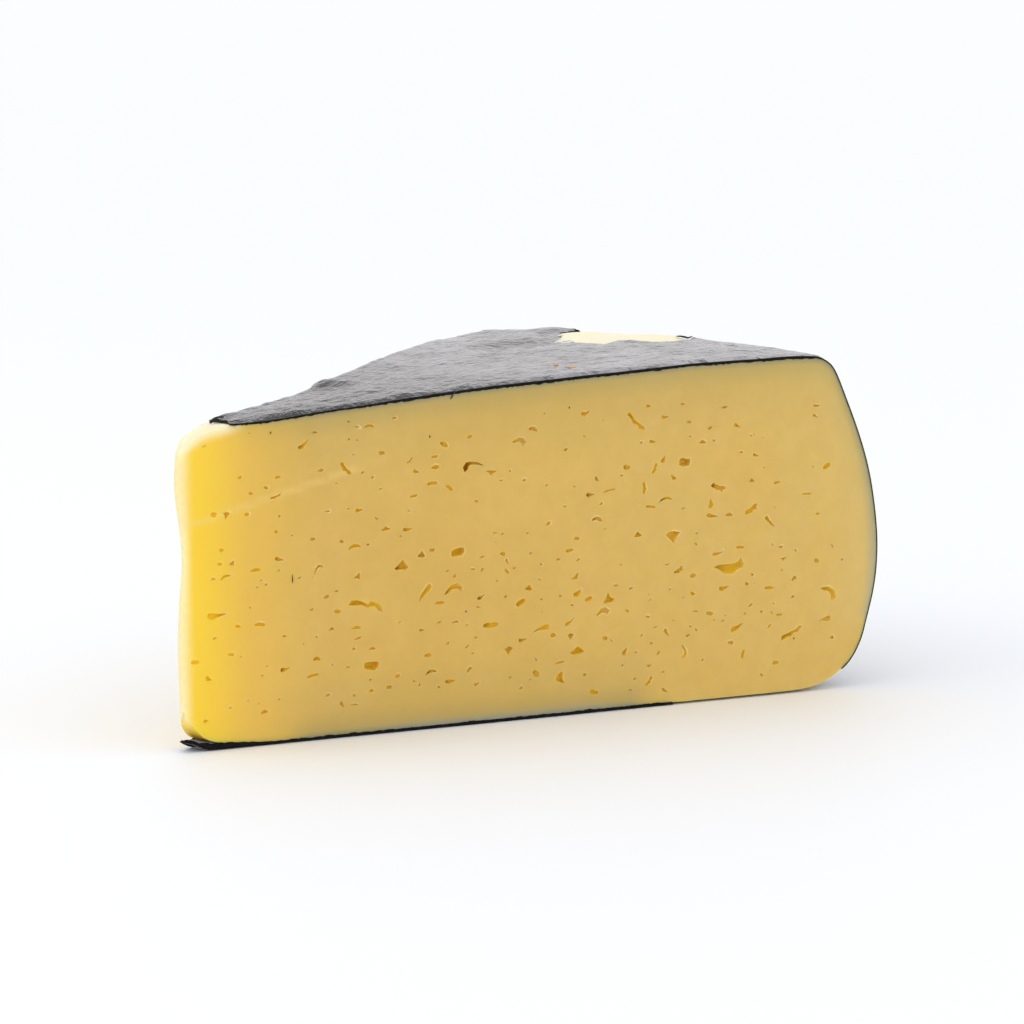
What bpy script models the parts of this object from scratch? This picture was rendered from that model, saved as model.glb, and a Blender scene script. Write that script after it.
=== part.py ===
"""A wedge cut from a flat wheel of semi-hard cheese that is coated in black wax.

The wedge is two pieces: the cheese paste, and the one sheet of wax that covers what was the
wheel's top, rim and base. Both come from the same turned wheel and the same two knife cuts.

Frame, in metres: +X runs from the tip to the middle of the rim, +Z is up, and the origin is on
the resting face, under the middle of the wedge's box.
"""

from math import atan2, cos, pi, radians, sin, sqrt, tan

import bmesh
import bpy
from mathutils import Matrix

# The wheel that the wedge was cut from
WHEEL_RADIUS = 0.180
WHEEL_HEIGHT = 0.081
DISH_DEPTH = 0.0085          # how far the top has sunk at the wheel's centre
WIDEST_HEIGHT = 0.032        # the cheese has sagged, so the rim bulges below half height
UPPER_SIDE_RADIUS = 0.095    # curve of the rim above its widest height
LOWER_SIDE_RADIUS = 0.075    # curve of the rim below it
UPPER_SHOULDER = 0.008
LOWER_SHOULDER = 0.018

# The two cuts
WEDGE_ANGLE = radians(37)
CUT_OVERRUN = 0.003          # the cuts cross this far beyond the wheel's centre
TIP_ROUNDING = 0.0022

# The wax, and the gap that keeps the two solids apart
WAX_THICKNESS = 0.0011
GAP = 0.0003

# The paste's corners at the tip, seen from the side
TIP_TOP_CORNER = 0.005
TIP_BASE_CORNER = 0.0055

# Where wax is missing. Lengths are along +X from the wheel's centre, and across.
TOP_WAX_START = 0.011        # the top sheet starts this far from the wheel's centre
TOP_WAX_SLANT = radians(28)
CHIP_OUTLINE = [
    (0.1335, 0.0080), (0.1350, -0.0015), (0.1415, -0.0085), (0.1510, -0.0130),
    (0.1620, -0.0085), (0.1670, 0.0020), (0.1640, 0.0140), (0.1570, 0.0270),
    (0.1490, 0.0250), (0.1410, 0.0170),
]
# Lengths are from the wheel's centre along the near cut, and in from it.
STRIP_OUTLINE = [
    (0.1220, -0.0020), (0.1710, -0.0020), (0.1710, 0.0070), (0.1600, 0.0060),
    (0.1480, 0.0040), (0.1360, 0.0035),
]
STRIP_TOP = 0.0022

TURN_STEPS = 180
ARC_STEPS = 6
DISH_STEPS = 12
REACH = 0.26                 # cutters run this far, well past the wheel

HALF_ANGLE = WEDGE_ANGLE / 2
TIP_CENTRE = TIP_ROUNDING / sin(HALF_ANGLE) - CUT_OVERRUN
TIP_X = TIP_CENTRE - TIP_ROUNDING
CENTRE_SHIFT = -(TIP_X + WHEEL_RADIUS) / 2


def clear_scene():
    for obj in list(bpy.data.objects):
        bpy.data.objects.remove(obj, do_unlink=True)


def make_collection(name):
    collection = bpy.data.collections.new(name)
    bpy.context.scene.collection.children.link(collection)
    return collection


def make_material(name, colour, roughness):
    material = bpy.data.materials.new(name)
    material.use_nodes = True
    shader = material.node_tree.nodes["Principled BSDF"]
    shader.inputs["Base Color"].default_value = (*colour, 1.0)
    shader.inputs["Roughness"].default_value = roughness
    shader.inputs["Metallic"].default_value = 0.0
    return material


def arc(centre, radius, start, end, steps=ARC_STEPS):
    angles = [start + (end - start) * step / steps for step in range(steps + 1)]
    return [(centre[0] + radius * cos(a), centre[1] + radius * sin(a)) for a in angles]


def shoulder_centre(side_radius, corner_radius, height):
    """Middle of the corner arc that touches the rim's side and the flat face at this height.

    height is measured from the widest level, and so is the height that is returned.
    """
    rise = height - corner_radius
    reach = sqrt((side_radius - corner_radius) ** 2 - rise ** 2)
    return WHEEL_RADIUS - side_radius + reach, rise


def dished_top(edge, top, steps):
    """The top from the wheel's centre to its shoulder: a shallow dish with a level middle and rim."""
    radii = [edge * step / steps for step in range(steps)]
    return [(r, top - DISH_DEPTH * (1 + cos(pi * r / edge)) / 2) for r in radii]


def wheel_profile(inset):
    """Half of the wheel's section, from its top centre round the rim to its base centre."""
    upper_r, upper_rise = shoulder_centre(
        UPPER_SIDE_RADIUS, UPPER_SHOULDER, WHEEL_HEIGHT - WIDEST_HEIGHT)
    lower_r, lower_fall = shoulder_centre(LOWER_SIDE_RADIUS, LOWER_SHOULDER, WIDEST_HEIGHT)
    upper_side_r = WHEEL_RADIUS - UPPER_SIDE_RADIUS
    lower_side_r = WHEEL_RADIUS - LOWER_SIDE_RADIUS
    upper_meet = atan2(upper_rise, upper_r - upper_side_r)
    lower_meet = -atan2(lower_fall, lower_r - lower_side_r)

    points = dished_top(upper_r, WHEEL_HEIGHT - inset, DISH_STEPS)
    points += arc((upper_r, WIDEST_HEIGHT + upper_rise), UPPER_SHOULDER - inset, pi / 2, upper_meet)
    points += arc((upper_side_r, WIDEST_HEIGHT), UPPER_SIDE_RADIUS - inset, upper_meet, 0)[1:]
    points += arc((lower_side_r, WIDEST_HEIGHT), LOWER_SIDE_RADIUS - inset, 0, lower_meet)[1:]
    points += arc((lower_r, LOWER_SHOULDER), LOWER_SHOULDER - inset, lower_meet, -pi / 2)[1:]
    points.append((0.0, inset))
    return points


def turned_wheel(name, inset, collection):
    """The whole wheel, made smaller all round by inset, as a turned profile."""
    points = wheel_profile(inset)
    mesh = bpy.data.meshes.new(name)
    edges = [(i, i + 1) for i in range(len(points) - 1)]
    mesh.from_pydata([(r, 0.0, z) for r, z in points], edges, [])
    wheel = bpy.data.objects.new(name, mesh)
    wheel.location.x = CENTRE_SHIFT
    collection.objects.link(wheel)

    turn = wheel.modifiers.new("turn", "SCREW")
    turn.axis = "Z"
    turn.angle = 2 * pi
    turn.steps = TURN_STEPS
    turn.render_steps = TURN_STEPS
    turn.use_merge_vertices = True
    turn.merge_threshold = 1e-6
    turn.use_smooth_shade = True
    return wheel


def extruded_outline(name, points, thickness, place, collection):
    """A closed flat outline given thickness, centred on its own plane, as a mesh object."""
    curve = bpy.data.curves.new(name, "CURVE")
    curve.dimensions = "2D"
    curve.fill_mode = "BOTH"
    curve.extrude = thickness / 2
    spline = curve.splines.new("POLY")
    spline.points.add(len(points) - 1)
    for point, (x, y) in zip(spline.points, points):
        point.co = (x, y, 0.0, 1.0)
    spline.use_cyclic_u = True
    outline = bpy.data.objects.new(name + "_outline", curve)
    outline.matrix_world = Matrix.Translation((CENTRE_SHIFT, 0.0, 0.0)) @ place
    collection.objects.link(outline)
    bpy.context.view_layer.update()

    evaluated = outline.evaluated_get(bpy.context.evaluated_depsgraph_get())
    mesh = bpy.data.meshes.new_from_object(evaluated)
    solid = bmesh.new()
    solid.from_mesh(mesh)
    bmesh.ops.remove_doubles(solid, verts=solid.verts, dist=1e-6)
    bmesh.ops.recalc_face_normals(solid, faces=solid.faces)
    solid.to_mesh(mesh)
    solid.free()
    result = bpy.data.objects.new(name, mesh)
    result.matrix_world = outline.matrix_world.copy()
    collection.objects.link(result)
    bpy.data.objects.remove(outline, do_unlink=True)
    return result


def hide_cutter(cutter):
    cutter.hide_render = True
    cutter.display_type = "WIRE"


def cut(target, operation, cutter):
    modifier = target.modifiers.new(cutter.name, "BOOLEAN")
    modifier.operation = operation
    modifier.solver = "EXACT"
    modifier.object = cutter
    hide_cutter(cutter)


def wedge_cuts(collection):
    """The space between the two knife cuts, seen from above, with a slightly blunt tip."""
    spread = (REACH + CUT_OVERRUN) * tan(HALF_ANGLE)
    outline = arc((TIP_CENTRE, 0.0), TIP_ROUNDING, pi / 2 + HALF_ANGLE, 3 * pi / 2 - HALF_ANGLE)
    outline += [(REACH, -spread), (REACH, spread)]
    place = Matrix.Translation((0.0, 0.0, WHEEL_HEIGHT / 2))
    return extruded_outline("wedge_cuts", outline, 2 * WHEEL_HEIGHT, place, collection)


def tip_corners(collection):
    """The paste's outline from the side: worn corners at the tip, and square past the rim."""
    base = WAX_THICKNESS + GAP
    top = WHEEL_HEIGHT - DISH_DEPTH - base
    outline = arc((TIP_X + TIP_BASE_CORNER, base + TIP_BASE_CORNER), TIP_BASE_CORNER, -pi / 2, -pi)
    outline += arc((TIP_X + TIP_TOP_CORNER, top - TIP_TOP_CORNER), TIP_TOP_CORNER, pi, pi / 2)
    outline += [(4 * TIP_TOP_CORNER, WHEEL_HEIGHT), (REACH, WHEEL_HEIGHT)]
    outline += [(REACH, -GAP), (4 * TIP_BASE_CORNER, -GAP)]
    place = Matrix.Rotation(pi / 2, 4, "X")
    return extruded_outline("tip_corners", outline, WHEEL_RADIUS, place, collection)


def bare_tip(collection):
    """Where the top wax stops short of the tip, along a slanting line across the wedge."""
    size = 4 * TOP_WAX_START
    outline = [(-size, -size), (0.0, -size), (0.0, size), (-size, size)]
    place = (Matrix.Translation((TOP_WAX_START, 0.0, WHEEL_HEIGHT))
             @ Matrix.Rotation(-TOP_WAX_SLANT, 4, "Z"))
    return extruded_outline("bare_tip", outline, WHEEL_HEIGHT, place, collection)


def chip(collection):
    """The patch on the far shoulder where the wax has broken away."""
    place = Matrix.Translation((0.0, 0.0, WHEEL_HEIGHT))
    return extruded_outline("chip", CHIP_OUTLINE, WHEEL_HEIGHT / 4, place, collection)


def bare_strip(collection):
    """The strip along the near cut's foot where the base wax has torn off with the cut."""
    place = Matrix.Rotation(-HALF_ANGLE, 4, "Z")
    return extruded_outline("bare_strip", STRIP_OUTLINE, 2 * STRIP_TOP, place, collection)


def cheese_paste(wedge, cutters, collection):
    paste = turned_wheel("cheese_paste", WAX_THICKNESS + GAP, collection)
    cut(paste, "INTERSECT", wedge)
    cut(paste, "INTERSECT", tip_corners(cutters))
    paste.data.materials.append(make_material("paste", (0.72, 0.47, 0.12), 0.45))
    return paste


def wax_coat(wedge, cutters, collection):
    wax = turned_wheel("wax_coat", 0.0, collection)
    cut(wax, "INTERSECT", wedge)
    cut(wax, "DIFFERENCE", turned_wheel("wax_inside", WAX_THICKNESS, cutters))
    cut(wax, "DIFFERENCE", bare_tip(cutters))
    cut(wax, "DIFFERENCE", chip(cutters))
    cut(wax, "DIFFERENCE", bare_strip(cutters))
    wax.data.materials.append(make_material("black_wax", (0.018, 0.018, 0.02), 0.42))
    return wax


def main():
    clear_scene()
    parts = make_collection("cheese_wedge")
    cutters = make_collection("cutters")
    wedge = wedge_cuts(cutters)
    cheese_paste(wedge, cutters, parts)
    wax_coat(wedge, cutters, parts)


main()
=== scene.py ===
"""The looks of the cheese wedge: its paste with open eyes, its black wax, and the studio round it.

Both pieces are built on one turned profile, the section of the wheel that the wedge came from.
Lengths are in metres. "Along" is measured on a cut face from the tip's edge towards the rim.
"""

import random
from math import asin, atan2, cos, exp, hypot, pi, radians, sin, sqrt

import bmesh
import bpy
import numpy as np
from mathutils import Matrix, Vector, noise
from mathutils.geometry import delaunay_2d_cdt


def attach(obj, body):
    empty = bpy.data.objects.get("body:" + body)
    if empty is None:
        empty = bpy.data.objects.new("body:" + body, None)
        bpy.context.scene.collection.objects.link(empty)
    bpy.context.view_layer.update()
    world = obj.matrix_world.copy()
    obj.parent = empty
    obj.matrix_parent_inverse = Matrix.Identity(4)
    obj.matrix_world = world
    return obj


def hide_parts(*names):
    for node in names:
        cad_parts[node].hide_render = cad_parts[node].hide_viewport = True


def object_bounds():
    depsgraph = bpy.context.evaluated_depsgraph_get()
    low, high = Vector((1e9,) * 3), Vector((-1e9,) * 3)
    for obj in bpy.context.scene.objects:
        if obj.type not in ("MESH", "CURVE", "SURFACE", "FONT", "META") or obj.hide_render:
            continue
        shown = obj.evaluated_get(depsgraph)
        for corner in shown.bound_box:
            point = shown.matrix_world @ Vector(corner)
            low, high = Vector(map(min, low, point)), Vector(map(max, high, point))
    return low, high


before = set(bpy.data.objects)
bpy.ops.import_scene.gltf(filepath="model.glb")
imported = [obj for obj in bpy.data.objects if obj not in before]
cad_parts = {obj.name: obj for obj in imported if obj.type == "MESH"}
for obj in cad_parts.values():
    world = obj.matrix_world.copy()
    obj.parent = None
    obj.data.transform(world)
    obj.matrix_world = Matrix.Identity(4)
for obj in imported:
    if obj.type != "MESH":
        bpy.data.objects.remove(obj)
cad_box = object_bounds()

MM = 0.001

# The wheel and its cuts, as the CAD model has them
WHEEL_RADIUS = 0.180
WHEEL_HEIGHT = 0.081
DISH_DEPTH = 0.0085
WIDEST_HEIGHT = 0.032
UPPER_SIDE_RADIUS = 0.095
LOWER_SIDE_RADIUS = 0.075
UPPER_SHOULDER = 0.008
LOWER_SHOULDER = 0.018
HALF_ANGLE = radians(37) / 2
CUT_OVERRUN = 0.003
TIP_ROUNDING = 0.0022
TIP_TOP_CORNER = 0.0052
TIP_TOP_STRETCH = 1.6        # the top corner is this much longer than it is high
TIP_BASE_CORNER = 0.0075

TIP_CENTRE = TIP_ROUNDING / sin(HALF_ANGLE) - CUT_OVERRUN
TIP_X = TIP_CENTRE - TIP_ROUNDING
TIP_HALF_ARC = TIP_ROUNDING * (pi / 2 - HALF_ANGLE)
CUT_OFFSET = CUT_OVERRUN * sin(HALF_ANGLE)          # how far each cut misses the wheel's axis
WHEEL_X = cad_box[1][0] - WHEEL_RADIUS              # the wheel's axis in the part's frame

# The wax coat
FLAT_WAX = 0.00125           # from the wax's outer face to the paste's rind, on top
RIM_WAX = 0.00050            # and on the rim, where the wax ran thin
BASE_WAX = 0.00080           # and underneath, where the cheese's weight pressed it out
WAX_GAP = 0.00005            # between the wax and the rind
TOP_WAX_NEAR = 0.0122        # where the top wax starts, on the near cut and on the far cut
TOP_WAX_FAR = 0.0170

EDGE_WEAR = 0.0030           # how far in the bare tip's top edges are rubbed round

NEAR = -1
FAR = 1


# ---- small helpers

def smooth(low, high, value):
    """0 below low, 1 above high, and an even S-curve between them."""
    t = min(max((value - low) / (high - low), 0.0), 1.0)
    return t * t * (3 - 2 * t)


def bump(distance, radius):
    """1 in the middle, fading evenly to nothing over about two radii."""
    return exp(-(distance / radius) ** 2)


def waves(x, y, z, size, seed=0.0):
    """Smooth noise from about -1 to 1, with lumps of this size."""
    return noise.noise(Vector((x / size + seed, y / size - seed, z / size + 2 * seed)))


# ---- the wheel's section

def arc(centre, radius, start, end, step):
    """Points about a step apart on an arc, from one angle to the other."""
    count = max(2, int(abs(end - start) * radius / step))
    angles = [start + (end - start) * i / count for i in range(count + 1)]
    return [(centre[0] + radius * cos(a), centre[1] + radius * sin(a)) for a in angles]


def shoulder_centre(side_radius, corner_radius, height):
    """Middle of the corner that joins the rim's side to the flat face this far from the widest level."""
    rise = height - corner_radius
    return WHEEL_RADIUS - side_radius + sqrt((side_radius - corner_radius) ** 2 - rise ** 2), rise


class Profile:
    """The section's outline from above the tip, round the rim, to below the tip."""

    STEP = 0.00025

    def __init__(self):
        upper_r, upper_rise = shoulder_centre(
            UPPER_SIDE_RADIUS, UPPER_SHOULDER, WHEEL_HEIGHT - WIDEST_HEIGHT)
        lower_r, lower_fall = shoulder_centre(LOWER_SIDE_RADIUS, LOWER_SHOULDER, WIDEST_HEIGHT)
        upper_side = (WHEEL_RADIUS - UPPER_SIDE_RADIUS, WIDEST_HEIGHT)
        lower_side = (WHEEL_RADIUS - LOWER_SIDE_RADIUS, WIDEST_HEIGHT)
        upper_meet = atan2(upper_rise, upper_r - upper_side[0])
        lower_meet = -atan2(lower_fall, lower_r - lower_side[0])

        count = int((upper_r - TIP_X) / self.STEP)
        radii = [TIP_X + (upper_r - TIP_X) * i / count for i in range(count)]
        path = [(r, WHEEL_HEIGHT - DISH_DEPTH * (1 + cos(pi * r / upper_r)) / 2) for r in radii]
        path += arc((upper_r, WIDEST_HEIGHT + upper_rise), UPPER_SHOULDER, pi / 2, upper_meet, self.STEP)
        path += arc(upper_side, UPPER_SIDE_RADIUS, upper_meet, 0, self.STEP)[1:]
        path += arc(lower_side, LOWER_SIDE_RADIUS, 0, lower_meet, self.STEP)[1:]
        path += arc((lower_r, LOWER_SHOULDER), LOWER_SHOULDER, lower_meet, -pi / 2, self.STEP)[1:]
        count = int((lower_r - TIP_X) / self.STEP)
        path += [(lower_r + (TIP_X - lower_r) * i / count, 0.0) for i in range(1, count + 1)]

        self.r = np.array([p[0] for p in path])
        self.z = np.array([p[1] for p in path])
        steps = np.hypot(np.diff(self.r), np.diff(self.z))
        self.p = np.concatenate([[0.0], np.cumsum(steps)])
        self.normal_r = -np.gradient(self.z, self.p)
        self.normal_z = np.gradient(self.r, self.p)
        self.length = float(self.p[-1])
        self.turn = np.argmax(self.r)
        self.widest = float(self.p[self.turn])
        self.top_end = self.top_at(upper_r)
        self.base_start = self.length - (lower_r - TIP_X)

    def at(self, p, inset=0.0):
        """Radius, height and outward direction at this path length, inset from the outside."""
        nr = float(np.interp(p, self.p, self.normal_r))
        nz = float(np.interp(p, self.p, self.normal_z))
        size = hypot(nr, nz)
        r = float(np.interp(p, self.p, self.r)) - inset * nr / size
        z = float(np.interp(p, self.p, self.z)) - inset * nz / size
        return r, z, nr / size, nz / size

    def radius(self, p):
        """Distance from the wheel's axis at this path length."""
        return self.at(p)[0]

    def top_at(self, r):
        """The path length where the top and upper rim reach this radius."""
        return float(np.interp(r, self.r[:self.turn], self.p[:self.turn]))


profile = Profile()


def rind_inset(p):
    """From the wax's outer face to the paste's rind."""
    past_top = smooth(profile.top_end - 0.003, profile.top_end + 0.006, p)
    on_base = smooth(profile.base_start - 0.010, profile.base_start, p)
    near_tip = smooth(profile.length - 0.022, profile.length - 0.005, p)
    inset = FLAT_WAX + (RIM_WAX - FLAT_WAX) * past_top
    return inset + (BASE_WAX - RIM_WAX) * on_base + 0.00085 * near_tip


# ---- the cuts

TANGENT_X = TIP_CENTRE - TIP_ROUNDING * sin(HALF_ANGLE)     # where the tip's rounding meets a cut
TANGENT_Y = TIP_ROUNDING * cos(HALF_ANGLE)
TANGENT_R = hypot(TANGENT_X, TANGENT_Y)


def on_tip_arc(r):
    """Where a circle of this radius about the wheel's axis meets the tip's rounding: x and y."""
    x = (r ** 2 - TIP_ROUNDING ** 2 + TIP_CENTRE ** 2) / (2 * TIP_CENTRE)
    return x, sqrt(max(r ** 2 - x ** 2, 0.0))


def edge_angle(r):
    """How far round from the middle line a circle of this radius meets the cuts."""
    if r <= TIP_X:
        return 0.0
    if r < TANGENT_R:
        x, y = on_tip_arc(r)
        return atan2(y, x)
    return HALF_ANGLE + asin(CUT_OFFSET / r)


def cut_point(along):
    """Where a place on the cut faces is, seen from above, and which way the face looks there.

    along is positive on the near face and negative on the far one; both start at the tip.
    """
    side = -1.0 if along >= 0 else 1.0
    length = abs(along)
    if length <= TIP_HALF_ARC:
        angle = length / TIP_ROUNDING
        x = TIP_CENTRE - TIP_ROUNDING * cos(angle)
        return x, side * TIP_ROUNDING * sin(angle), -cos(angle), side * sin(angle)
    straight = length - TIP_HALF_ARC
    x = TANGENT_X + straight * cos(HALF_ANGLE)
    y = TANGENT_Y + straight * sin(HALF_ANGLE)
    return x, side * y, -sin(HALF_ANGLE), side * cos(HALF_ANGLE)


def along_at(r):
    """How far along a cut face lies the place at this distance from the wheel's axis."""
    if r <= TANGENT_R:
        x, y = on_tip_arc(r)
        return TIP_ROUNDING * atan2(y, TIP_CENTRE - x)
    dot = TANGENT_X * cos(HALF_ANGLE) + TANGENT_Y * sin(HALF_ANGLE)
    return TIP_HALF_ARC - dot + sqrt(dot ** 2 - TANGENT_R ** 2 + r ** 2)


def ridge_gap(along, z):
    """How far a place on the near face is above the ridge that the knife left there."""
    return z - 0.0497 - 0.245 * along


def ridge_strength(along):
    """The ridge is on the near face only, and fades out away from the tip."""
    return (1 - smooth(0.036, 0.058, along)) if along > 0 else 0.0


def cut_relief(along, z):
    """How far the knife's unevenness moves the cut faces outwards."""
    side = 3.0 if along >= 0 else 7.0
    slow = 0.00030 * waves(along, 0, z, 0.034, side) + 0.00010 * waves(along, 0, z, 0.011, side)
    lean = 0.0013 * bump(z - 0.0595, 0.0095) - 0.0006 * bump(z - 0.042, 0.008)
    lean += 0.0003 * bump(z - 0.020, 0.010)
    lean += 0.0006 * bump(z - 0.026, 0.024)
    tip = bump(along, 0.010) * lean
    ridge = 0.00022 * bump(ridge_gap(along, z), 0.0007) * ridge_strength(along)
    return slow * (1 - bump(along, 0.010)) + tip + ridge


def on_cut(along, z, depth=0.0):
    """A place on a cut face, or depth metres behind it."""
    x, y, nx, ny = cut_point(along)
    out = cut_relief(along, z) - depth
    return Vector((WHEEL_X + x + nx * out, y + ny * out, z))


# ---- the rind's shape

CHIP_OUTLINE = [
    (0.1535, 0.0275), (0.1490, 0.0225), (0.1400, 0.0185), (0.1445, 0.0150), (0.1375, 0.0115),
    (0.1385, 0.0070), (0.1415, 0.0030), (0.1470, 0.0030), (0.1485, -0.0025), (0.1495, -0.0070),
    (0.1560, -0.0085), (0.1635, -0.0075), (0.1690, -0.0010), (0.1705, 0.0080), (0.1690, 0.0190),
    (0.1640, 0.0290),
]
CHIP_CENTRE = (0.1540, 0.0100)
STRIP_START = 0.1235         # the bare strip under the near cut, as distances from the wheel's axis
STRIP_END = 0.1715


def top_relief(x, y):
    """Hollows and swellings of the top, from above: x from the wheel's axis, y towards the far cut."""
    r = hypot(x, y)
    far_side = smooth(-0.004, 0.016, y)
    crown = 0.0009 * bump(r - 0.060, 0.034) - 0.0005 * bump(r - 0.118, 0.022)
    crown -= 0.0006 * bump(r - 0.019, 0.010)
    crown *= 1 - far_side
    slow = 0.00022 * waves(x, y, 0, 0.030, 5.0) + 0.00010 * waves(x, y, 0, 0.011, 9.0)
    outer_part = smooth(0.0590, 0.0680, r - 0.12 * (0.020 - y))
    hollow = -far_side * (0.0014 * (1 - outer_part) + 0.0008 * outer_part)
    fold = 0.0004 * bump(r - 0.0675, 0.0018) - 0.0003 * bump(r - 0.0640, 0.0012)
    fold *= smooth(0.008, 0.016, y)
    dent_gap = hypot((x - 0.127) / 1.8, y - 0.0165)
    dent = 0.0004 * bump(dent_gap - 0.0100, 0.0030) - 0.0011 * bump(dent_gap, 0.0065)
    outer_slope = -0.0007 * smooth(0.126, 0.150, r)
    far_corner = -0.0004 * smooth(0.028, 0.048, y) * smooth(0.105, 0.145, x)
    far_rise = 0.0015 * smooth(-0.018, 0.004, y) * (1 - 0.75 * smooth(0.026, 0.050, y))
    far_rise *= smooth(0.136, 0.162, r)
    return crown + slow + hollow + fold + dent + outer_slope + far_corner + far_rise


def skin_relief(p, angle):
    """How far the rind, and the wax on it, stands out from the true wheel."""
    r, z, _, _ = profile.at(p)
    x = r * cos(angle)
    y = r * sin(angle)
    top = 1 - smooth(profile.top_end - 0.002, profile.top_end + 0.012, p)
    base = smooth(profile.base_start - 0.020, profile.base_start - 0.004, p)
    rim = (1 - top) * (1 - base)
    rim_lumps = 0.00035 * waves(x, y, z, 0.028, 2.0) + 0.00012 * waves(x, y, z, 0.010, 4.0)
    rim_sag = 0.00040 * bump(z - 0.036, 0.014) - 0.0007 * bump(z - 0.061, 0.010)
    rim_lumps += rim_sag - 0.0008 * bump(z - 0.012, 0.011)
    worn_shoulder = -0.0012 * bump(p - profile.top_end - 0.012, 0.011)
    worn_shoulder -= 0.0005 * bump(p - profile.top_end - 0.004, 0.004)
    worn_foot = -0.0009 * bump(p - profile.base_start + 0.008, 0.007)
    return top * top_relief(x, y) + rim * rim_lumps + worn_shoulder + worn_foot


def on_skin(p, t, inset=0.0, lift=0.0):
    """A place on the wheel's old outside. t runs from -1 at the near cut to 1 at the far cut."""
    r, z, nr, nz = profile.at(p, inset)
    edge = edge_angle(r)
    angle = t * edge
    out = skin_relief(p, angle) + lift
    r += nr * out
    z += nz * out
    x = WHEEL_X + r * cos(angle)
    y = r * sin(angle)
    side = -1.0 if t < 0 else 1.0
    along = -side * along_at(max(r, TIP_X))
    _, _, cut_x, cut_y = cut_point(along)
    shift = cut_relief(along, z) * smooth(0.90, 1.0, abs(t))
    return Vector((x + cut_x * shift, y + cut_y * shift, z))


def half_width(p):
    """Length of the arc from the middle line to a cut, round the wheel's axis."""
    r = profile.radius(p)
    return r * edge_angle(r)


def edge_gap(p, q):
    """From a place on the skin, q across from the middle line, to the nearer cut."""
    return half_width(p) - abs(q)


def point_in(outline, x, y):
    """Whether a place is inside a closed flat outline."""
    inside = False
    previous = outline[-1]
    for point in outline:
        crosses = (point[1] > y) != (previous[1] > y)
        if crosses:
            at = point[0] + (y - point[1]) * (previous[0] - point[0]) / (previous[1] - point[1])
            if x < at:
                inside = not inside
        previous = point
    return inside


def bare_swell(p, t):
    """How far bare paste swells out where the wax that held it in is gone."""
    r = profile.radius(p)
    x = r * cos(t * HALF_ANGLE)
    y = r * sin(t * HALF_ANGLE)
    swell = 0.0
    if p < profile.widest:
        gap = hypot((x - CHIP_CENTRE[0]) / 0.0175, (y - CHIP_CENTRE[1]) / 0.0190)
        swell = 0.00040 * (1 - smooth(0.75, 1.00, gap))
    if p > profile.widest and t < 0:
        run = smooth(STRIP_START - 0.004, STRIP_START + 0.004, r)
        run *= 1 - smooth(STRIP_END - 0.005, STRIP_END + 0.001, r)
        swell = 0.0002 * run * smooth(0.80, 0.93, -t)
    return swell


def worn_corner(distance, radius):
    """How much of the height a rounded corner takes away at this distance from the tip."""
    if distance >= radius:
        return 0.0
    return radius - sqrt(max(radius ** 2 - (radius - max(distance, 0.0)) ** 2, 0.0))


def edge_wear(from_edge, along):
    """How far the rubbed top edges of the bare tip are pulled in, at this distance from the edge."""
    x, y, _, _ = cut_point(along)
    size = min(EDGE_WEAR * (1 - smooth(0.0070, 0.0115, x - TIP_X)), abs(y))
    if size <= 0 or from_edge >= size:
        return 0.0
    return 0.29 * size * (1 - max(from_edge, 0.0) / size) ** 2


def on_rind(p, t):
    """A place on the paste's rind, under the wax."""
    place = on_skin(p, t, rind_inset(p), bare_swell(p, t))
    r = profile.radius(p)
    from_tip = r * cos(t * edge_angle(r)) - TIP_X
    if p < profile.widest:
        place.z -= worn_corner(from_tip / TIP_TOP_STRETCH, TIP_TOP_CORNER)
        along = along_at(max(r, TIP_X)) * (1 if t < 0 else -1)
        _, _, out_x, out_y = cut_point(along)
        wear = edge_wear(half_width(p) * (1 - abs(t)), along)
        place -= Vector((out_x, out_y, 1.0)) * wear
    else:
        place.z += worn_corner(from_tip, TIP_BASE_CORNER)
    return place


# ---- filling flat outlines

def turns_left(loop):
    """Whether a flat outline runs anticlockwise."""
    return sum(a[0] * b[1] - b[0] * a[1] for a, b in zip(loop, loop[1:] + loop[:1])) > 0


def filled(outline, holes, inner_points):
    """Triangles that fill an outline, leave the holes open and use the inner points.

    Returns the 2D places, the triangles, and for each loop its vertices in order.
    """
    places = []
    members = []
    faces = []
    for loop in [outline] + holes:
        numbers = list(range(len(places), len(places) + len(loop)))
        places.extend(loop)
        members.append(numbers)
        faces.append(numbers if turns_left(loop) else numbers[::-1])
    places.extend(inner_points)
    verts, _, triangles, sources, _, face_sources = delaunay_2d_cdt(
        [Vector(place) for place in places], [], faces, 1, 1e-7)
    kept = [tri for tri, origin in zip(triangles, face_sources) if not any(i > 0 for i in origin)]
    found = {}
    for index, origins in enumerate(sources):
        for origin in origins:
            found[origin] = index
    rings = [[found[number] for number in numbers] for numbers in members]
    return [tuple(v) for v in verts], kept, rings


def staggered(low_x, high_x, low_y, high_y, step):
    """Points of an even triangular grid."""
    rows = int((high_y - low_y) / (step * 0.866)) + 1
    columns = int((high_x - low_x) / step) + 1
    for row in range(rows):
        for column in range(columns):
            yield low_x + (column + 0.5 * (row % 2)) * step, low_y + row * step * 0.866


# ---- eyes

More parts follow.
